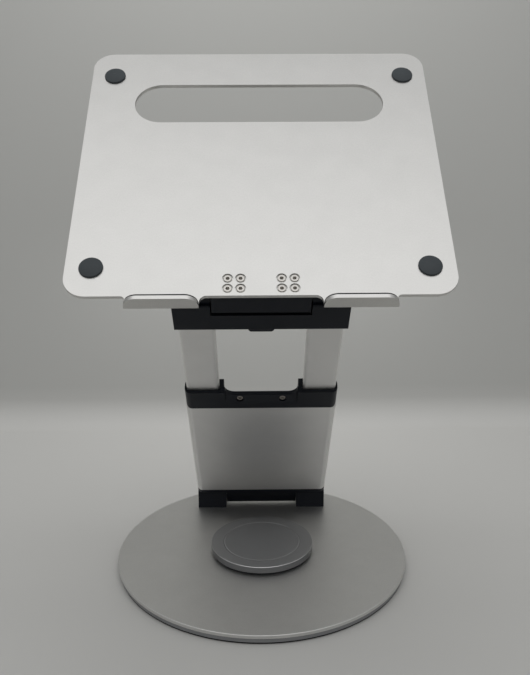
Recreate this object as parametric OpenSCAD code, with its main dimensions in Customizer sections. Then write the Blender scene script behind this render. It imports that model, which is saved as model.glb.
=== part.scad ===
// Laptop stand with a turning round base, a telescopic column and a tilting tray.
// Millimetres. +Z up, +X to the right, the user's side is -Y. Origin: floor, base centre.

/* [Base] */
// diameter of the round base plate
base_d = 250; // [240:1:270]
// diameter of the round cap in the middle
cap_d = 89; // [80:1:96]

/* [Column] */
// forward lean of the column from upright, degrees
lean = 38.5; // [20:0.5:50]
// distance from the lower shaft to the tray shaft
reach = 307; // [290:1:307]
// width of the column
col_w = 122; // [118:1:124]

/* [Tray] */
// width of the tray
tray_w = 266; // [250:1:300]
// depth of the tray
tray_l = 242; // [220:1:260]
// thickness of the tray sheet
tray_t = 2.8; // [2.5:0.1:3]
// tray angle from the floor, degrees
tilt = 42.5; // [30:0.5:55]
// length of the slot
slot_w = 194; // [150:1:200]
// height of the slot
slot_h = 42; // [30:1:44]
// how far the lips stand above the tray
lip_h = 10.3; // [8:0.1:14]

/* [Hidden] */
$fn = 64;
fine = 128;
eps = 0.01;
run_fit = 0.05; // radial gap round a turning shaft
shaft_r = 3;

// base: heights of each layer above the floor
base_r = base_d / 2;
cap_r = cap_d / 2;
foot_top = 1.5;
disc_top = 4.9;
plate_z0 = 5.2;
plate_z1 = 8.3;
cap_z0 = 10.4;
cap_z1 = 16.2;
stud_r = 5;
nut_z0 = 9.1;
nut_h = 4.6;
nut_r = 9.2;
ring_r = 38; // sliding ring under the plate
glide_r = 42.5; // black ring under the cap

// lower hinge
ax_y = 88.2;
ax_z = 21;
foot_x0 = 34; // inner face of a foot
knuckle_x = 33.6;
knuckle_r = 10.7;
foot_screw_x = 47.5;
foot_screw_y = [84, 94];

// column section: depth in front of and behind the shaft line
half_w = col_w / 2;
front_w = 7.2;
back_w = 6.2;
web = 6; // thickness of the front wall
bay_x = 29.6; // half width of the open bay at the back
tube_x0 = 33;
tube_x1 = 59;
tube_mid = (tube_x1 + tube_x0) / 2;
tube_wd = tube_x1 - tube_x0;
tube_d = 8;
tube_r = 2.6;
shell_s0 = 18.2; // distances along the column from the lower shaft
collar_s0 = 168.4;
collar_s1 = 191.3;
collar_in = 0.4; // step from the shell's outline to the collar's
liner_t = 0.75; // tube to collar
dip_s = 184.7; // top of the collar between the posts
dip_x = 29;
dip_r = 8;
seat_s0 = 175.2;
seat_lean = 13;
seat_x = 17.05;
seat_up = 5.6;
knuckle_screw = [38, 54, 26]; // two x places and the distance along the column

// upper part: distances from the tray shaft, minus is down the column
bar_w = 122;
bar_d = 10; // half depth
bar_bot = -29;
bar_top = -2.4;
notch_x = 34.9;
notch_r = 16;
ear_x = 45;
ear_r = 7.5;
shaft_x = 43.5;
tube_top = -16.6;
tube_bot = -187;
pin_x = 54;
pin_s = -21;
yoke_s = -24.1;
yoke_h = 2.2;
press = 3; // travel of the button
cover_x = 31.3;
cover_s = [-23.2, -18.2];
rod_x0 = 45; // place of the two release rods
bolt_s = -181;

// tray, in its own frame
tray_up = 11;
tray_fwd = 10;
tray_r = 16;
slot_v = 184;
pad_u = 115;
pad_v = [23.4, 215.2];
pad_r = 8.3;
pad_peg = 5;
scr_u = [13.8, 22.5];
scr_v = [6, 14.3];
scr_seat = 3.7;
scr_head = 2.9;
lip_u0 = 41.2;
lip_u1 = 90.5;
lip_v = 9.5;
lip_r = 9;
bend_r = 3;
strip_t = 1.2;
block_x = 33.9;
block_r = 13.7;
block_y = 9.5;

black = [0.05, 0.052, 0.06];
silver = [0.72, 0.72, 0.71];
steel = [0.62, 0.62, 0.64];
bronze = [0.71, 0.54, 0.31];

// ---- frames -------------------------------------------------------------
// column frame: x to the right, y to the back of the column, z along it from the lower shaft
module in_col() {
  translate([0, ax_y, ax_z]) rotate([lean, 0, 0]) children();
}

// same frame with its origin on the tray shaft
module in_top() {
  in_col() translate([0, 0, reach]) children();
}

// the tray's directions, with the origin on the tray shaft
module in_pivot() {
  in_top() rotate([tilt - lean, 0, 0]) children();
}

// tray frame: x to the right, y up the slope from the bottom edge, z off the tray's top face
module in_tray() {
  in_pivot() translate([0, -tray_fwd, tray_up]) children();
}

// ---- shared shapes ------------------------------------------------------
module both() {
  children();
  mirror([1, 0, 0]) children();
}

// flat rounded rectangle, centre at the origin
module rrect(w, h, r) {
  square([w - 2 * r, h], center = true);
  square([w, h - 2 * r], center = true);
  for (x = [-1, 1])
    for (y = [-1, 1])
      translate([x * (w / 2 - r), y * (h / 2 - r)]) circle(r = r, $fn = 48);
}

module rod_x(r, x0, x1) {
  translate([x0, 0, 0]) rotate([0, 90, 0]) cylinder(r = r, h = x1 - x0);
}

module rod_y(r, y0, y1) {
  translate([0, y0, 0]) rotate([-90, 0, 0]) cylinder(r = r, h = y1 - y0);
}

module tube_x(r1, r0, x0, x1) {
  difference() {
    rod_x(r1, x0, x1);
    rod_x(r0, x0 - 1, x1 + 1);
  }
}

// a profile drawn in (y, z), pulled along x
module pull_x(x0, x1) {
  translate([x0, 0, 0]) rotate([90, 0, 90]) linear_extrude(height = x1 - x0) children();
}

// a profile drawn in (x, z), pulled along y
module pull_y(y0, y1) {
  translate([0, y1, 0]) rotate([90, 0, 0]) linear_extrude(height = y1 - y0) children();
}

// screw with its head towards +y: the shank ends at y0 and the head sits on y1
module screw_y(d, head_d, head_h, y0, y1) {
  difference() {
    union() {
      rod_y(d / 2, y0, y1 + eps);
      rod_y(head_d / 2, y1, y1 + head_h);
    }
    translate([0, y1 + head_h * 0.4, 0]) rotate([-90, 0, 0]) cylinder(d = head_d * 0.48, h = 2, $fn = 6);
  }
}

// ---- base ---------------------------------------------------------------
module rubber_foot() {
  pocket_r = 9.5;
  pocket_z = foot_top - 0.95;
  color([0.09, 0.09, 0.09]) rotate_extrude($fn = fine)
    polygon([[0, 0], [base_r - 2, 0], [base_r - 1.2, 0.8], [base_r - 1.2, foot_top],
      [pocket_r, foot_top], [pocket_r, pocket_z], [0, pocket_z]]);
}

module lower_disc() {
  rim = base_r - 0.9;
  hole_r = stud_r + 0.02;
  color([0.3, 0.3, 0.31]) difference() {
    rotate_extrude($fn = fine)
      polygon([[hole_r, foot_top], [rim - 0.3, foot_top], [rim, foot_top + 0.3],
        [rim, disc_top - 0.3], [rim - 0.3, disc_top], [hole_r, disc_top]]);
    // lightening holes
    for (a = [30:60:330]) rotate([0, 0, a]) translate([70, 0, foot_top - 0.5]) cylinder(d = 22, h = 4.5);
  }
}

module axle_stud() {
  flange_h = 0.9;
  color(steel) union() {
    translate([0, 0, foot_top - flange_h]) cylinder(r = 9, h = flange_h);
    translate([0, 0, foot_top]) cylinder(r = stud_r, h = nut_z0 + nut_h - foot_top);
  }
}

module axle_washer() {
  color(steel) difference() {
    translate([0, 0, plate_z1 + 0.05]) cylinder(r = 12, h = nut_z0 - plate_z1 - 0.05);
    translate([0, 0, plate_z1 - 1]) cylinder(r = stud_r + 0.02, h = 4);
  }
}

module axle_nut() {
  color(steel) difference() {
    translate([0, 0, nut_z0]) cylinder(r = nut_r, h = nut_h, $fn = 6);
    translate([0, 0, nut_z0 - 1]) cylinder(r = stud_r + 0.01, h = nut_h + 2);
  }
}

// black ring that carries the cap's rim just clear of the plate
module glide_ring() {
  color(black) difference() {
    translate([0, 0, plate_z1 + 0.06]) cylinder(r = glide_r, h = cap_z0 - plate_z1 - 0.06, $fn = fine);
    translate([0, 0, plate_z1 - 1]) cylinder(r = glide_r - 9, h = 6, $fn = 96);
  }
}

module swivel_cap() {
  groove_r = cap_r * 0.745;
  groove_w = 0.7;
  groove_z = 0.25;
  edge = 0.35;
  color([0.4, 0.4, 0.4]) difference() {
    rotate_extrude($fn = fine)
      polygon([[0, cap_z0], [cap_r - edge, cap_z0], [cap_r, cap_z0 + edge], [cap_r, cap_z1 - edge],
        [cap_r - edge, cap_z1],
        [groove_r + groove_w, cap_z1], [groove_r, cap_z1 - groove_z], [groove_r - groove_w, cap_z1],
        [0, cap_z1]]);
    // grip on the nut
    translate([0, 0, cap_z0 - 1]) cylinder(r = nut_r + 0.02, h = nut_z0 + nut_h - cap_z0 + 1.05);
  }
}

// ---- turntable ----------------------------------------------------------
module base_plate() {
  edge = 0.3;
  hole_r = stud_r + run_fit;
  color([0.6, 0.6, 0.59]) difference() {
    rotate_extrude($fn = fine)
      polygon([[hole_r, plate_z0], [base_r - edge, plate_z0], [base_r, plate_z0 + edge],
        [base_r, plate_z1 - edge], [base_r - edge, plate_z1], [hole_r, plate_z1]]);
    // seat of the sliding ring
    translate([0, 0, plate_z0 - 1]) cylinder(r = ring_r + 0.2, h = 2.2);
    both() for (y = foot_screw_y) translate([foot_screw_x, y, plate_z0]) {
      translate([0, 0, -1]) cylinder(d = 3.4, h = 6);
      translate([0, 0, -eps]) cylinder(r1 = 3.4, r2 = 1.7, h = 1.7);
    }
  }
}

module thrust_ring() {
  color([0.85, 0.84, 0.8]) difference() {
    translate([0, 0, disc_top + 0.05]) cylinder(r = ring_r, h = 1.4);
    translate([0, 0, disc_top - 1]) cylinder(r = 14, h = 4);
  }
}

// profile of a hinge foot about the lower shaft: a block with two rounded shoulders
module foot_profile() {
  shoulder = 3.5;
  shoulder_z = 2.8;
  translate([-9.2, plate_z1 - ax_z]) square([20, 15.7]);
  translate([-5.7, 0]) square([13, shoulder_z + shoulder]);
  for (y = [-5.7, 7.3]) translate([y, shoulder_z]) circle(r = shoulder, $fn = 48);
}

module foot() {
  plug_r = 4.5;
  difference() {
    translate([0, ax_y, ax_z]) difference() {
      pull_x(foot_x0, half_w) foot_profile();
      rod_x(shaft_r + 0.02, foot_x0 - 1, half_w - 6);
      rod_x(plug_r, half_w - 2.2, half_w + 1);
    }
    for (y = foot_screw_y) translate([foot_screw_x, y, plate_z1 - 1]) cylinder(d = 3.04, h = 6.2);
  }
}

module hinge_foot_right() {
  color(black) foot();
}

module hinge_foot_left() {
  color(black) mirror([1, 0, 0]) foot();
}

module foot_screws() {
  color(steel) both() for (y = foot_screw_y) translate([foot_screw_x, y, plate_z0 + 0.05]) {
    cylinder(r1 = 3.3, r2 = 1.5, h = 1.8);
    cylinder(d = 3, h = 8);
  }
}

module lower_shaft() {
  color(steel) translate([0, ax_y, ax_z]) rod_x(shaft_r, -(half_w - 6), half_w - 6);
}

module foot_plugs() {
  color([0.12, 0.12, 0.13]) both() translate([0, ax_y, ax_z]) {
    rod_x(4.5, half_w - 2.2, half_w - 0.4);
    rod_x(2.2, half_w - 0.5, half_w);
  }
}

// ---- column -------------------------------------------------------------
// outline of the column across its axis: y to the back
module col_outline(inset = 0) {
  translate([0, (back_w - front_w) / 2]) rrect(col_w - 2 * inset, front_w + back_w, 5);
}

// the two tube sections, grown by a margin
module tube_pair(extra) {
  for (m = [-1, 1])
    translate([m * tube_mid, 0]) rrect(tube_wd + 2 * extra, tube_d + 2 * extra, tube_r + extra);
}

// open bay at the back, between the sleeves, with a shallow groove in the front wall
module bay_cut() {
  translate([-bay_x, web - front_w]) square([2 * bay_x, front_w + back_w]);
  translate([-26, 1.8 - front_w]) square([52, web - 1.8 + eps]);
}

module column_shell() {
  color(silver) in_col() difference() {
    translate([0, 0, shell_s0]) linear_extrude(height = collar_s0 - shell_s0) difference() {
      col_outline();
      tube_pair(0.9);
      bay_cut();
    }
    for (m = [-1, 1]) translate([m * 18, 0, 160]) rod_y(1.5, -3.4, 0.6);
    for (m = [-1, 1])
      for (k = [0, 1]) translate([m * knuckle_screw[k], 0, knuckle_screw[2]]) rod_y(1.65, 3, 9);
  }
}

// section of the raised middle of the lower hinge: round below, flush with the column in front
module knuckle_profile() {
  intersection() {
    circle(r = knuckle_r, $fn = 96);
    translate([-front_w, -knuckle_r - 1]) square([front_w + back_w, 2 * knuckle_r]);
  }
  translate([-front_w, 0]) square([front_w + back_w, 13]);
}

module lower_knuckle() {
  block_s = 12.3;
  plug_h = 14;
  bush_x = 27;
  color(black) in_col() difference() {
    union() {
      translate([0, 0, block_s]) linear_extrude(height = shell_s0 - block_s) col_outline();
      pull_x(-knuckle_x, knuckle_x) knuckle_profile();
      // plugs inside the column's sleeves
      translate([0, 0, shell_s0 - eps]) linear_extrude(height = plug_h) tube_pair(0.85);
    }
    rod_x(shaft_r + 0.1, -40, 40);
    for (m = [-1, 1]) rod_x(4.2, m * bush_x - 7, m * bush_x + 7);
    translate([0, 0, shell_s0 + 1]) linear_extrude(height = plug_h + 1) tube_pair(-1.8);
    for (m = [-1, 1])
      for (k = [0, 1]) translate([m * knuckle_screw[k], 0, knuckle_screw[2]]) rod_y(1.27, 1, 7);
  }
}

module knuckle_bushes() {
  color(bronze) in_col() for (x = [-27, 27]) tube_x(4.2, shaft_r + run_fit, x - 6.6, x + 6.6);
}

module knuckle_screws() {
  color(steel) in_col() for (m = [-1, 1])
    for (k = [0, 1]) translate([m * knuckle_screw[k], 0, knuckle_screw[2]]) screw_y(2.5, 5, 1.2, 3, back_w);
}

// frame of a collar screw: y goes square into the sloping seat
module at_seat(m) {
  translate([m * seat_x, -front_w, seat_s0]) rotate([-seat_lean, 0, 0])
    translate([0, 0, seat_up]) children();
}

// front view of the collar: rounded lower corners, and a dip with wide fillets between two posts
module collar_face() {
  r = 3;
  w = half_w - collar_in;
  difference() {
    union() {
      translate([-w, collar_s0 + r]) square([2 * w, collar_s1 - collar_s0 - r]);
      translate([r - w, collar_s0]) square([2 * (w - r), r + 1]);
      for (m = [-1, 1]) translate([m * (w - r), collar_s0 + r]) circle(r = r, $fn = 48);
    }
    translate([dip_r - dip_x, dip_s]) square([2 * (dip_x - dip_r), 30]);
    translate([-dip_x, dip_s + dip_r]) square([2 * dip_x, 30]);
    for (m = [-1, 1]) translate([m * (dip_x - dip_r), dip_s + dip_r]) circle(r = dip_r, $fn = 64);
  }
}

module collar() {
  color(black) in_col() difference() {
    intersection() {
      translate([0, 0, collar_s0]) linear_extrude(height = collar_s1 - collar_s0) col_outline(collar_in);
      pull_y(-20, 20) collar_face();
    }
    translate([0, 0, collar_s0 - 1]) linear_extrude(height = 40) tube_pair(0.45);
    // room for the liners
    translate([0, 0, collar_s0 - 1]) linear_extrude(height = 18.6) tube_pair(liner_t);
    // open bay at the back
    translate([-bay_x, web - front_w, collar_s0 - 1]) cube([2 * bay_x, 20, 40]);
    // sloping seat in the middle of the front
    translate([0, -front_w, seat_s0]) rotate([-seat_lean, 0, 0]) translate([-dip_x, -12, 0])
      cube([2 * dip_x, 12, 40]);
    for (m = [-1, 1]) at_seat(m) {
      rod_y(3.1, -1, 2);
      rod_y(1.35, 0, 12);
    }
  }
}

// plate behind the front wall that ties the collar to the column, its top sloping to the back
module collar_brace() {
  front = web - front_w;
  back = front + 2.5;
  color([0.1, 0.1, 0.11]) in_col() difference() {
    pull_x(-26, 26) polygon([[front, 150], [back, 150], [back, dip_s - 4.6], [front, dip_s - 0.8]]);
    for (m = [-1, 1]) at_seat(m) rod_y(1.27, 0, 6.5);
    for (m = [-1, 1]) translate([m * 18, 0, 160]) rod_y(1.6, -3.4, 8);
  }
}

module brace_screws() {
  color(steel) in_col() for (x = [-18, 18]) translate([x, 0, 160]) screw_y(2.98, 5.4, 1.4, -2.9, 1.3);
}

module collar_screws() {
  color([0.66, 0.64, 0.6]) in_col() for (m = [-1, 1]) at_seat(m) difference() {
    union() {
      rod_y(2.25, 1, 2);
      rod_y(1.25, 2 - eps, 6);
    }
    // cross recess
    for (a = [35, 125]) rotate([0, a, 0]) translate([-1.5, 0.9, -0.4]) cube([3, 0.9, 0.8]);
  }
}

module tube_liners() {
  color([0.11, 0.11, 0.12]) in_col() translate([0, 0, collar_s0 + 0.05]) linear_extrude(height = 17)
    difference() {
      tube_pair(liner_t - 0.02);
      tube_pair(0.3);
    }
}

// ---- upper part ---------------------------------------------------------
module tube(m) {
  wall = 1.4;
  in_top() difference() {
    translate([m * tube_mid, 0, tube_bot]) linear_extrude(height = tube_top - tube_bot) difference() {
      rrect(tube_wd, tube_d, tube_r);
      rrect(tube_wd - 2 * wall, tube_d - 2 * wall, wall);
    }
    translate([m * pin_x, 0, pin_s]) rod_y(1.5, -6, 6);
    // openings on the inner side, for the brake bolt and for the yoke
    translate([m * (tube_x0 + 1), 1.05, bolt_s + 1.1]) cube([4, 2.5, 9.6], center = true);
    translate([m * (tube_x0 + 1), 0, -21.5]) cube([4, 4.4, 6], center = true);
  }
}

module tube_left() {
  color(silver) tube(-1);
}

module tube_right() {
  color(silver) tube(1);
}

// an ear beside the notch: round about the shaft, with a rounded outer corner in the front view
module ear() {
  r = 6;
  intersection() {
    pull_x(notch_x, ear_x) union() {
      circle(r = ear_r);
      translate([-ear_r, -8]) square([2 * ear_r, 8]);
    }
    pull_y(-20, 20) union() {
      translate([notch_x - 1, -10]) square([ear_x - notch_x + 1 - r, 10 + ear_r]);
      translate([notch_x - 1, -10]) square([ear_x - notch_x + 1, 10 + ear_r - r]);
      translate([ear_x - r, ear_r - r]) circle(r = r);
    }
  }
}

module crossbar() {
  room_d = 4.4; // depth of the yoke's room
  color(black) in_top() difference() {
    union() {
      difference() {
        pull_x(-bar_w / 2, bar_w / 2) translate([0, (bar_bot + bar_top) / 2])
          rrect(2 * bar_d, bar_top - bar_bot, 1.2);
        rod_x(notch_r, -notch_x, notch_x);
      }
      both() ear();
    }
    // shaft seats
    rod_x(shaft_r + eps, -shaft_x - 0.1, shaft_x + 0.1);
    // tube sockets, open below
    translate([0, 0, bar_bot - 1]) linear_extrude(height = tube_top - bar_bot + 1 + eps) tube_pair(0.02);
    // room for the yoke, with a window at the back
    translate([-51, -room_d / 2, yoke_s - 0.4]) cube([102, room_d, 7.6]);
    translate([-27.5, -room_d / 2, yoke_s - 0.4]) cube([55, 20, 7.6]);
    translate([-35.2, bar_d - 1.8, -26]) cube([70.4, 6, 10.4]);
    // button opening below
    translate([-9.7, -9.1, bar_bot - 1]) cube([19.4, 10.4, 9.5]);
    both() translate([pin_x, 0, pin_s]) rod_y(1.5, -8.5, 7.5);
    both() for (k = cover_s) translate([cover_x, 0, k]) rod_y(1.02, 4.8, 9.8);
  }
}

module crossbar_cover() {
  color([0.07, 0.07, 0.08]) in_top() difference() {
    translate([-35, bar_d - 1.8, -25.8]) cube([70, 1.8, 10]);
    both() for (k = cover_s) translate([cover_x, 0, k]) rod_y(1.05, 0, 20);
  }
}

module cover_screws() {
  color(steel) in_top() both() for (k = cover_s) translate([cover_x, 0, k]) screw_y(2, 3.6, 0.9, 5, bar_d);
}

module tube_pins() {
  color(steel) in_top() both() translate([pin_x, 0, pin_s]) rod_y(1.49, -6.5, 6.5);
}

module tube_sliders() {
  cap_h = 2.5;
  color([0.12, 0.12, 0.13]) in_top() for (m = [-1, 1]) difference() {
    translate([m * tube_mid, 0, tube_bot - cap_h]) {
      linear_extrude(height = cap_h) rrect(tube_wd, tube_d, tube_r);
      linear_extrude(height = 18) rrect(tube_wd - 2.84, tube_d - 2.84, 1.38);
    }
    // room for the brake bolt and the rod's tail
    translate([m * 40.5, 0, bolt_s + 5.2]) cube([20, 12, 18], center = true);
  }
}

module upper_shaft() {
  color(steel) in_top() rod_x(shaft_r, -shaft_x, shaft_x);
}

// leaf spring above the yoke
module yoke_spring() {
  top = -17;
  drop = 1.5;
  t = 0.35;
  color(steel) in_top() pull_y(-1.5, 1.5)
    polygon([[-14, top], [-14, top - t], [-2, top - drop - t], [2, top - drop - t], [14, top - t],
      [14, top], [2, top - drop], [-2, top - drop]]);
}

// ---- release ------------------------------------------------------------
// front view of the button: a tab with slanted, rounded lower corners
module button_face() {
  low = bar_bot - 3.7;
  polygon([[-9.2, yoke_s], [-9.2, low + 2.4], [-8.1, low + 0.5], [-7.3, low], [7.3, low],
    [8.1, low + 0.5], [9.2, low + 2.4], [9.2, yoke_s]]);
}

module release_button() {
  color([0.06, 0.062, 0.07]) in_top() pull_y(-8.8, 1) button_face();
}

module release_yoke() {
  color(steel) in_top() difference() {
    translate([-50, -1.8, yoke_s]) cube([100, 3.6, yoke_h]);
    both() translate([rod_x0, 0, yoke_s - 2]) cylinder(d = 3.02, h = 6);
  }
}

module release_rods() {
  color(steel) in_top() both() translate([rod_x0, 0, 0]) {
    translate([0, 0, -172.5]) cylinder(d = 3, h = 172.5 + yoke_s + yoke_h);
    // flat tail with the pin that works the bolt
    translate([-2, -1.95, -184.2]) cube([4, 1.8, 14]);
    translate([-2, -1.95, -173.5]) cube([4, 2.6, 3.5]);
    translate([0, 0, bolt_s]) rod_y(1, -0.3, 1.9);
  }
}

// ---- brake bolts --------------------------------------------------------
// the pin rises by the button's travel and the slanted slot draws the bolt in by 0.4 of it
module bolt(m) {
  slot_r = 1.3;
  side = [1.207, 0.483]; // the slot's half width, square to its slant
  a = [m * rod_x0, bolt_s];
  b = [m * (rod_x0 - 0.4 * press), bolt_s + press];
  in_top() translate([0, 0.15, 0]) difference() {
    translate([m * 40.4, 0.9, bolt_s + 1.1]) cube([16, 1.8, 9], center = true);
    pull_y(-1, 3) {
      translate(a) circle(r = slot_r, $fn = 32);
      translate(b) circle(r = slot_r, $fn = 32);
      polygon([a - [m * side[0], side[1]], a + [m * side[0], side[1]],
        b + [m * side[0], side[1]], b - [m * side[0], side[1]]]);
    }
  }
}

module bolt_left() {
  color(steel) bolt(-1);
}

module bolt_right() {
  color(steel) bolt(1);
}

// ---- tray ---------------------------------------------------------------
// a tongue from the tray's bottom edge to a lip, with its root fillets
module tongue() {
  in_r = 5;
  out_r = 3;
  translate([lip_u0, -lip_v + bend_r]) square([lip_u1 - lip_u0, lip_v]);
  translate([lip_u0 - in_r, -in_r]) difference() {
    square([in_r + 1, in_r + 1]);
    circle(r = in_r, $fn = 48);
  }
  translate([lip_u1, -out_r]) difference() {
    translate([-1, 0]) square([out_r + 1, out_r + 1]);
    translate([out_r, 0]) circle(r = out_r, $fn = 48);
  }
}

module tray_flat() {
  difference() {
    union() {
      translate([0, tray_l / 2]) rrect(tray_w, tray_l, tray_r);
      both() tongue();
    }
    translate([0, slot_v]) square([slot_w - slot_h, slot_h], center = true);
    for (m = [-1, 1]) translate([m * (slot_w - slot_h) / 2, slot_v]) circle(d = slot_h, $fn = 96);
  }
}

// front face of a lip in (x, z), from a given height up, with wide rounded upper corners
module lip_face(z0, margin) {
  x0 = lip_u0 + margin;
  x1 = lip_u1 - margin;
  top = lip_h - margin;
  translate([x0, z0]) square([x1 - x0, top - lip_r - z0]);
  intersection() {
    translate([x0, z0]) square([x1 - x0, top - z0]);
    union() {
      translate([x0 + lip_r, z0]) square([x1 - x0 - 2 * lip_r, top - z0]);
      for (x = [x0 + lip_r, x1 - lip_r]) translate([x, top - lip_r]) circle(r = lip_r);
    }
  }
}

// outer quarter of the bend at the foot of a lip, in (y, z)
module bend_profile() {
  difference() {
    translate([-lip_v + bend_r, bend_r - tray_t]) circle(r = bend_r, $fn = 48);
    translate([-lip_v + bend_r, -tray_t - 1]) square([9, 9]);
    translate([-lip_v - 1, bend_r - tray_t]) square([9, 9]);
  }
}

module tray_plate() {
  peg_z = 1.2;
  color([0.82, 0.82, 0.81]) in_tray() difference() {
    union() {
      translate([0, 0, -tray_t]) linear_extrude(height = tray_t) tray_flat();
      both() {
        pull_x(lip_u0, lip_u1) bend_profile();
        pull_y(-lip_v, -lip_v + tray_t) lip_face(bend_r - tray_t - eps, 0);
      }
    }
    both() for (u = scr_u) for (v = scr_v) translate([u, v, 0]) {
      translate([0, 0, -4]) cylinder(d = 3.6, h = 6);
      translate([0, 0, -1.3]) cylinder(r = scr_seat, h = 2);
    }
    both() for (v = pad_v) translate([pad_u, v, -peg_z]) cylinder(r = pad_peg, h = 3);
  }
}

module lip_strips() {
  color([0.08, 0.08, 0.09]) in_tray() both() pull_y(-lip_v + tray_t, -lip_v + tray_t + strip_t)
    lip_face(bend_r - tray_t, 0.35);
}

// soft pad: a short wall, a rounded shoulder and a shallow dome
module pad() {
  top = 2.8;
  dome_r = 24;
  shoulder = 0.9;
  rotate_extrude() union() {
    translate([0, -1.2]) square([pad_peg, 1.3]);
    intersection() {
      translate([0, top - dome_r]) circle(r = dome_r, $fn = 256);
      union() {
        square([pad_r - shoulder, 3]);
        square([pad_r, 0.75]);
        translate([pad_r - shoulder, 0.75]) circle(r = shoulder, $fn = 48);
      }
      square([20, 5]);
    }
  }
}

module tray_pads() {
  color([0.2, 0.22, 0.23]) in_tray() both() for (v = pad_v) translate([pad_u, v, 0]) pad();
}

module tray_screws() {
  color(steel) in_tray() both() for (u = scr_u) for (v = scr_v) translate([u, v, 0]) difference() {
    union() {
      translate([0, 0, -1.28]) cylinder(r = scr_head, h = 0.8);
      translate([0, 0, -0.48]) cylinder(r1 = scr_head, r2 = scr_head - 0.3, h = 0.3);
      translate([0, 0, -6.8]) cylinder(d = 3.4, h = 5.6);
    }
    translate([0, 0, -2.6]) cylinder(d = 2.9, h = 3, $fn = 6);
  }
}

// barrel under the tray: round below, with flat faces in front and behind
module block_profile() {
  intersection() {
    circle(r = block_r, $fn = 96);
    rotate(lean - tilt) translate([-block_y, -block_r - 1]) square([2 * block_y, 2 * block_r + 2]);
    translate([-20, -20]) square([40, 20 + tray_up - tray_t]);
  }
}

module hinge_block() {
  bush_x = 29;
  color([0.055, 0.057, 0.065]) in_pivot() difference() {
    pull_x(-block_x, block_x) block_profile();
    rod_x(shaft_r + 0.1, -40, 40);
    for (m = [-1, 1]) rod_x(4.4, m * bush_x - 6, m * bush_x + 6);
    both() for (u = scr_u) for (v = scr_v)
      translate([u, v - tray_fwd, tray_up - 7.1]) cylinder(d = 3.42, h = 8);
  }
}

module block_bushes() {
  color(bronze) in_pivot() for (x = [-29, 29]) tube_x(4.4, shaft_r + run_fit, x - 4.8, x + 4.8);
}

module tilt_washers() {
  color(steel) in_pivot() both() tube_x(6.5, shaft_r + run_fit, block_x + 0.1, notch_x - 0.1);
}

rubber_foot();
lower_disc();
axle_stud();
axle_washer();
axle_nut();
glide_ring();
swivel_cap();
base_plate();
thrust_ring();
hinge_foot_left();
hinge_foot_right();
foot_screws();
lower_shaft();
foot_plugs();
column_shell();
lower_knuckle();
knuckle_bushes();
knuckle_screws();
collar();
collar_screws();
collar_brace();
brace_screws();
tube_liners();
tube_left();
tube_right();
crossbar();
crossbar_cover();
cover_screws();
tube_pins();
tube_sliders();
upper_shaft();
yoke_spring();
release_button();
release_yoke();
release_rods();
bolt_left();
bolt_right();
tray_plate();
lip_strips();
tray_pads();
tray_screws();
hinge_block();
block_bushes();
tilt_washers();
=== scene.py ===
"""Looks for an aluminium laptop stand: a round turntable base, a leaning column whose head slides
out, and a slotted tray with two lips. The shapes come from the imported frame; this file gives them
edges, finishes, a studio and a camera. Lengths are metres and angles are degrees, unless a name
says otherwise.
"""

import math

import bpy
from mathutils import Euler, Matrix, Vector

MM = 0.001

# ---------------------------------------------------------------- camera
LENS_MM = 43.38  # on the 36 mm long side of the picture
CAMERA_AT = (-3.2 * MM, -644.4 * MM, 377.5 * MM)
CAMERA_DOWN = 15.27
CAMERA_RIGHT = 0.60
CAMERA_ROLL = -0.25
CAMERA_NEAR = 10 * MM
CAMERA_FAR = 50

# ---------------------------------------------------------------- edges
# The width of the rounded edges of these CAD nodes. The other nodes keep the edges of the CAD.
EDGES = {
    "tray_plate": 0.9 * MM,
    "crossbar": 0.4 * MM,
    "collar": 0.4 * MM,
    "hinge_block": 0.4 * MM,
    "hinge_foot_left": 0.4 * MM,
    "hinge_foot_right": 0.4 * MM,
    "lower_knuckle": 0.3 * MM,
    "release_button": 0.4 * MM,
    "crossbar_cover": 0.3 * MM,
}
EDGE_SEGMENTS = 3
EDGE_ANGLE = 32  # an edge that turns less than this is part of a curve, and isn't rounded
EDGE_WELD = 0.001 * MM
FLAT_WEIGHT = 100  # how far the shading of the rounded edges follows the flat faces

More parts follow.
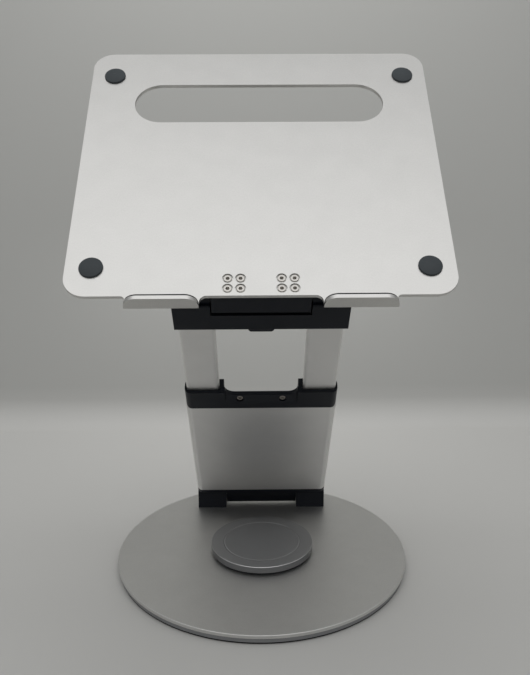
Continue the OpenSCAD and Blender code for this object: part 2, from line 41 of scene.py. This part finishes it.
# ---------------------------------------------------------------- finishes
# One finish for each material slot of the record, but for the cap's, which is made on its own and
# carries painted light.
FINISHES = {
    "tray_metal": dict(
        name="tray_silver", colour=(0.665, 0.657, 0.637), rough=0.38, metallic=1.0,
        mottle=0.015, grain=0.012 * MM, grain_size=0.9 * MM, speckle=0.035),
    "column_metal": dict(
        name="column_silver", colour=(0.76, 0.755, 0.74), rough=0.44, rough_spread=0.02,
        metallic=1.0, mottle=0.015, grain=0.003 * MM, grain_size=0.8 * MM, speckle=0.01),
    "plate_metal": dict(
        name="plate_grey", colour=(0.71, 0.705, 0.69), rough=0.46, rough_spread=0.03,
        metallic=1.0, mottle=0.02, grain=0.008 * MM, grain_size=0.9 * MM, speckle=0.03),
    "disc_metal": dict(
        name="disc_grey", colour=(0.30, 0.305, 0.315), rough=0.40, metallic=0.8,
        mottle=0.05, grain=0.01 * MM, grain_size=0.8 * MM),
    "dark_steel": dict(
        name="painted_steel", colour=(0.012, 0.012, 0.014), rough=0.50, specular=0.3,
        mottle=0.05, grain=0.02 * MM, grain_size=1.2 * MM),
    "bright_steel": dict(
        name="steel", colour=(0.62, 0.62, 0.62), rough=0.26, metallic=1.0,
        mottle=0.03, grain=0.004 * MM, grain_size=0.3 * MM),
    "screw_metal": dict(
        name="nickel", colour=(0.52, 0.50, 0.47), rough=0.28, metallic=1.0,
        mottle=0.03, grain=0.004 * MM, grain_size=0.3 * MM),
    "screw_dark": dict(
        name="dark_nickel", colour=(0.20, 0.185, 0.17), rough=0.30, metallic=1.0,
        mottle=0.03, grain=0.004 * MM, grain_size=0.3 * MM),
    "black_plastic": dict(
        name="black_plastic", colour=(0.0044, 0.0060, 0.0098), rough=0.42, specular=0.19,
        mottle=0.10, grain=0.012 * MM, grain_size=0.5 * MM),
    "pad_rubber": dict(
        name="pad_rubber", colour=(0.034, 0.042, 0.047), rough=0.60,
        mottle=0.08, grain=0.02 * MM, grain_size=0.5 * MM),
    "foot_rubber": dict(
        name="foot_rubber", colour=(0.010, 0.010, 0.011), rough=0.75, specular=0.25,
        mottle=0.10, grain=0.03 * MM, grain_size=0.8 * MM),
    "nylon": dict(
        name="nylon", colour=(0.72, 0.71, 0.66), rough=0.45,
        mottle=0.03, grain=0.01 * MM, grain_size=0.6 * MM),
    "bronze": dict(
        name="bronze", colour=(0.55, 0.38, 0.18), rough=0.40, metallic=1.0,
        mottle=0.08, grain=0.01 * MM, grain_size=0.4 * MM),
}
MOTTLE_SIZE = 18 * MM
MOTTLE_DETAIL = 3
GRAIN_DETAIL = 2
PATTERN_LOW, PATTERN_HIGH = 0.3, 0.7  # nearly all of a noise lies between these

# The cap's colour by which way each face looks, from sideways to up: painted shade on the flank, a
# painted highlight on the chamfer, and the cap's own grey on the face that looks up.
CAP_FLANK_PAINTED_SHADE = (0.20, 0.202, 0.206)
CAP_CHAMFER_PAINTED_HIGHLIGHT = (0.50, 0.50, 0.495)
CAP_FACE = (0.43, 0.435, 0.445)
CAP_PAINTED_LIGHT_STOPS = ((0.4, CAP_FLANK_PAINTED_SHADE), (0.6, CAP_CHAMFER_PAINTED_HIGHLIGHT), (0.8, CAP_CHAMFER_PAINTED_HIGHLIGHT), (0.95, CAP_FACE))
CAP_ROUGH = 0.30
CAP_ROUGH_SPREAD = 0.02
CAP_GRAIN = 0.005 * MM
CAP_GRAIN_SIZE = 0.5 * MM

# ---------------------------------------------------------------- studio
FLOOR_HALF = 6.0
FLOOR_PAPER = (0.565, 0.56, 0.54)
# The sweep is the floor's paper; its darker colour is painted shade, where the rising paper gets
# less light.
SWEEP_PAPER_PAINTED_SHADE = (0.46, 0.46, 0.442)
SWEEP_FOOT = 300 * MM  # where the paper starts to rise, behind the object
SWEEP_LIFT = 0.2 * MM  # keeps the sweep's flat start off the floor
SWEEP_RADIUS = 40 * MM
SWEEP_STEPS = 24  # along its curve
SWEEP_ANGLE = 75  # of the risen part, from the floor
SWEEP_SHADE_BLEND = 45 * MM  # the height over which its colour changes
SWEEP_HEIGHT = 2.6
SWEEP_HALF_WIDTH = 3.0
PAPER_ROUGH = 0.9
PAPER_SPECULAR = 0.15

DOME_COLOUR = (0.98, 0.99, 1.0)
DOME_HORIZON = 0.28
DOME_ZENITH = 0.68
# name, place, what it is aimed at, size, watts, whether it shows in reflections
SOFTBOXES = (
    ("softbox_above", (-0.02, -0.66, 2.0), (0.03, -0.25, 0.2), (2.4, 1.6), 7.2, True),
    ("softbox_wall", (0, 0.14, 0.90), (0, 0.42, 0.45), (0.5, 0.25), 1.25, False),
    ("softbox_pool", (0, 0.27, 0.24), (0, 0.28, 0), (0.4, 0.12), 0.10, False),
)


def link_object(name, data):
    obj = bpy.data.objects.new(name, data)
    bpy.context.scene.collection.objects.link(obj)
    return obj


def make_camera():
    """The viewpoint of the picture, with no lens shift and no depth of field."""
    data = bpy.data.cameras.new("camera")
    data.lens = LENS_MM
    data.clip_start = CAMERA_NEAR
    data.clip_end = CAMERA_FAR
    cam = link_object("camera", data)
    cam.location = CAMERA_AT
    turn = Euler((math.radians(90 - CAMERA_DOWN), 0, math.radians(-CAMERA_RIGHT)), "XYZ")
    roll = Euler((0, 0, math.radians(CAMERA_ROLL)), "XYZ")
    cam.rotation_euler = (turn.to_matrix() @ roll.to_matrix()).to_euler("XYZ")
    bpy.context.scene.camera = cam


# ---------------------------------------------------------------- materials
class Graph:
    """The node tree of a material or a world, with short calls for the nodes used here."""

    MIX_A, MIX_B, MIX_RESULT = 6, 7, 2  # the colour sockets of a Mix node

    def __init__(self, owner):
        owner.use_nodes = True
        self.tree = owner.node_tree
        self.tree.nodes.clear()

    def add(self, kind, inputs=None, **settings):
        """A new node. Each of its inputs takes a value, or an output of another node."""
        node = self.tree.nodes.new(kind)
        for key, value in settings.items():
            setattr(node, key, value)
        for key, value in (inputs or {}).items():
            if isinstance(value, bpy.types.NodeSocket):
                self.tree.links.new(value, node.inputs[key])
            else:
                node.inputs[key].default_value = value
        return node

    def rise(self, space):
        """The Z of one of the texture coordinates."""
        coords = self.add("ShaderNodeTexCoord")
        split = self.add("ShaderNodeSeparateXYZ", {"Vector": coords.outputs[space]})
        return split.outputs["Z"]

    def noise(self, size, detail):
        """A noise in the object's own space, whose blobs are about `size` across."""
        coords = self.add("ShaderNodeTexCoord")
        node = self.add("ShaderNodeTexNoise", {
            "Vector": coords.outputs["Object"], "Scale": 1 / size, "Detail": detail})
        return node.outputs["Fac"]

    def spread(self, value, low, high, start=PATTERN_LOW, end=PATTERN_HIGH):
        """Maps start..end onto low..high, and holds what lies outside."""
        node = self.add("ShaderNodeMapRange", {
            "Value": value, "From Min": start, "From Max": end, "To Min": low, "To Max": high})
        return node.outputs["Result"]

    def ramp(self, value, stops):
        """The colour for a value, from rising (value, colour) stops."""
        node = self.add("ShaderNodeValToRGB", {"Fac": value})
        elements = node.color_ramp.elements
        elements[0].position = stops[0][0]
        elements[1].position = stops[-1][0]
        for position, _ in stops[1:-1]:
            elements.new(position)
        for element, (_, colour) in zip(elements, stops):
            element.color = (*colour, 1)
        return node.outputs["Color"]

    def mix(self, factor, a, b, blend="MIX"):
        node = self.add("ShaderNodeMix", data_type="RGBA", blend_type=blend,
                        inputs={"Factor": factor, self.MIX_A: a, self.MIX_B: b})
        return node.outputs[self.MIX_RESULT]

    def finish(self, base, fine, rough, rough_spread, metallic, specular, grain):
        """Ends a material whose gloss and relief follow one fine pattern."""
        relief = self.add("ShaderNodeBump", {"Strength": 1.0, "Distance": grain, "Height": fine})
        shader = self.add("ShaderNodeBsdfPrincipled", {
            "Base Color": base,
            "Roughness": self.spread(fine, rough - rough_spread, rough + rough_spread),
            "Metallic": metallic,
            "Specular IOR Level": specular,
            "Normal": relief.outputs["Normal"],
        })
        self.add("ShaderNodeOutputMaterial", {"Surface": shader.outputs["BSDF"]})


def plain_finish(name, colour, rough, mottle, grain, grain_size,
                 rough_spread=0.05, metallic=0.0, specular=0.5, speckle=0.0):
    """A finish with slow mottling in its colour, and a fine grain in gloss, relief and colour."""
    material = bpy.data.materials.new(name)
    g = Graph(material)
    darker = [c * (1 - mottle) for c in colour]
    lighter = [min(1, c * (1 + mottle)) for c in colour]
    base = g.ramp(g.noise(MOTTLE_SIZE, MOTTLE_DETAIL),
                  ((PATTERN_LOW, darker), (PATTERN_HIGH, lighter)))
    fine = g.noise(grain_size, GRAIN_DETAIL)
    if speckle:
        base = g.mix(1, base, g.spread(fine, 1 - 2 * speckle, 1), blend="MULTIPLY")
    g.finish(base, fine, rough, rough_spread, metallic, specular, grain)
    return material


def cap_painted_light_finish():
    """The cap's grey face, with a painted highlight on the brighter chamfer and painted shade on
    the darker flank.
    """
    material = bpy.data.materials.new("cap_grey_painted_light")
    g = Graph(material)
    # painted light: the ramp on the normal's Z darkens the flank as painted shade and brightens the
    # chamfer as a painted highlight
    base = g.ramp(g.rise("Normal"), CAP_PAINTED_LIGHT_STOPS)
    fine = g.noise(CAP_GRAIN_SIZE, GRAIN_DETAIL)
    g.finish(base, fine, CAP_ROUGH, CAP_ROUGH_SPREAD, metallic=1.0, specular=0.5,
             grain=CAP_GRAIN)
    return material


def make_finishes():
    """The material for each slot of the record."""
    finishes = {slot: plain_finish(**look) for slot, look in FINISHES.items()}
    finishes["cap_metal"] = cap_painted_light_finish()
    return finishes


def dress(nodes, finishes):
    """Gives each CAD node the finish of its slot."""
    for node in nodes.values():
        for slot in node.material_slots:
            slot.material = finishes[slot.material.name.split(".")[0]]


def soften(node, width):
    """Rounds a CAD node's sharp edges, as moulding, milling or tumbling leaves them."""
    weld = node.modifiers.new("weld", "WELD")
    weld.merge_threshold = EDGE_WELD
    edge = node.modifiers.new("edge", "BEVEL")
    edge.width = width
    edge.segments = EDGE_SEGMENTS
    edge.limit_method = "ANGLE"
    edge.angle_limit = math.radians(EDGE_ANGLE)
    even = node.modifiers.new("even", "WEIGHTED_NORMAL")
    even.weight = FLAT_WEIGHT
    even.keep_sharp = False


# ---------------------------------------------------------------- studio
def paper_material():
    """Paper in the floor's colour, which darkens to painted shade, the sweep's darker colour, as it
    rises. It is clear when seen from behind or from below.
    """
    material = bpy.data.materials.new("paper")
    g = Graph(material)
    # painted shade: the paper darkens from the floor's colour to the sweep's as it rises
    height = g.spread(g.rise("Object"), 0, 1, start=0, end=SWEEP_SHADE_BLEND)
    paper = g.add("ShaderNodeBsdfPrincipled", {
        "Base Color": g.mix(height, (*FLOOR_PAPER, 1), (*SWEEP_PAPER_PAINTED_SHADE, 1)),
        "Roughness": PAPER_ROUGH,
        "Specular IOR Level": PAPER_SPECULAR,
    })
    side = g.add("ShaderNodeNewGeometry")
    clear = g.add("ShaderNodeBsdfTransparent")
    choose = g.add("ShaderNodeMixShader", {
        0: side.outputs["Backfacing"], 1: paper.outputs["BSDF"], 2: clear.outputs["BSDF"]})
    g.add("ShaderNodeOutputMaterial", {"Surface": choose.outputs["Shader"]})
    return material


def mesh_object(name, points, faces, material):
    mesh = bpy.data.meshes.new(name)
    mesh.from_pydata(points, [], faces)
    mesh.update()
    mesh.materials.append(material)
    return link_object(name, mesh)


def make_studio():
    """A pale floor, with a paper sweep behind the object."""
    paper = paper_material()
    half = FLOOR_HALF
    corners = [(-half, -half, 0), (half, -half, 0), (half, half, 0), (-half, half, 0)]
    floor = mesh_object("floor", corners, [(0, 1, 2, 3)], paper)

    outline = []
    for i in range(SWEEP_STEPS + 1):
        angle = math.radians(SWEEP_ANGLE) * i / SWEEP_STEPS
        outline.append((SWEEP_FOOT + SWEEP_RADIUS * math.sin(angle),
                        SWEEP_LIFT + SWEEP_RADIUS * (1 - math.cos(angle))))
    y, z = outline[-1]
    outline.append((y + (SWEEP_HEIGHT - z) / math.tan(angle), SWEEP_HEIGHT))
    points = [(side * SWEEP_HALF_WIDTH, y, z) for y, z in outline for side in (-1, 1)]
    faces = [(2 * i, 2 * i + 1, 2 * i + 3, 2 * i + 2) for i in range(len(outline) - 1)]
    sweep = mesh_object("sweep", points, faces, paper)
    for face in sweep.data.polygons:
        face.use_smooth = True


def make_lights():
    """A dome that is brighter overhead than at the horizon, a large softbox above the object,
    and two small ones for the sweep and for the floor behind the base.
    """
    world = bpy.data.worlds.new("world")
    bpy.context.scene.world = world
    g = Graph(world)
    dome = g.add("ShaderNodeBackground", {
        "Color": (*DOME_COLOUR, 1),
        "Strength": g.spread(g.rise("Generated"), DOME_HORIZON, DOME_ZENITH, start=0, end=1),
    })
    g.add("ShaderNodeOutputWorld", {"Surface": dome.outputs["Background"]})

    for name, at, target, size, watts, reflected in SOFTBOXES:
        data = bpy.data.lights.new(name, "AREA")
        data.shape = "RECTANGLE"
        data.size, data.size_y = size
        data.energy = watts
        lamp = link_object(name, data)
        lamp.location = at
        lamp.rotation_euler = (Vector(target) - Vector(at)).to_track_quat("-Z", "Y").to_euler()
        lamp.visible_camera = False
        lamp.visible_glossy = reflected


# ---------------------------------------------------------------- the scene
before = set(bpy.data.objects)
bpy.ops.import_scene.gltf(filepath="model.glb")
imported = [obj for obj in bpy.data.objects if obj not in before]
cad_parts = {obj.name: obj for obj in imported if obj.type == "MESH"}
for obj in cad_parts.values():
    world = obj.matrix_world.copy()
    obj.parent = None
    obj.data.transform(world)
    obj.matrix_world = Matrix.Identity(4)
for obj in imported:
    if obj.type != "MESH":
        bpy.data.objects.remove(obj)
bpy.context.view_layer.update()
make_camera()
make_studio()
make_lights()
bpy.context.scene.view_settings.view_transform = "Standard"
dress(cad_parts, make_finishes())

for name, width in EDGES.items():
    soften(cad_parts[name], width)
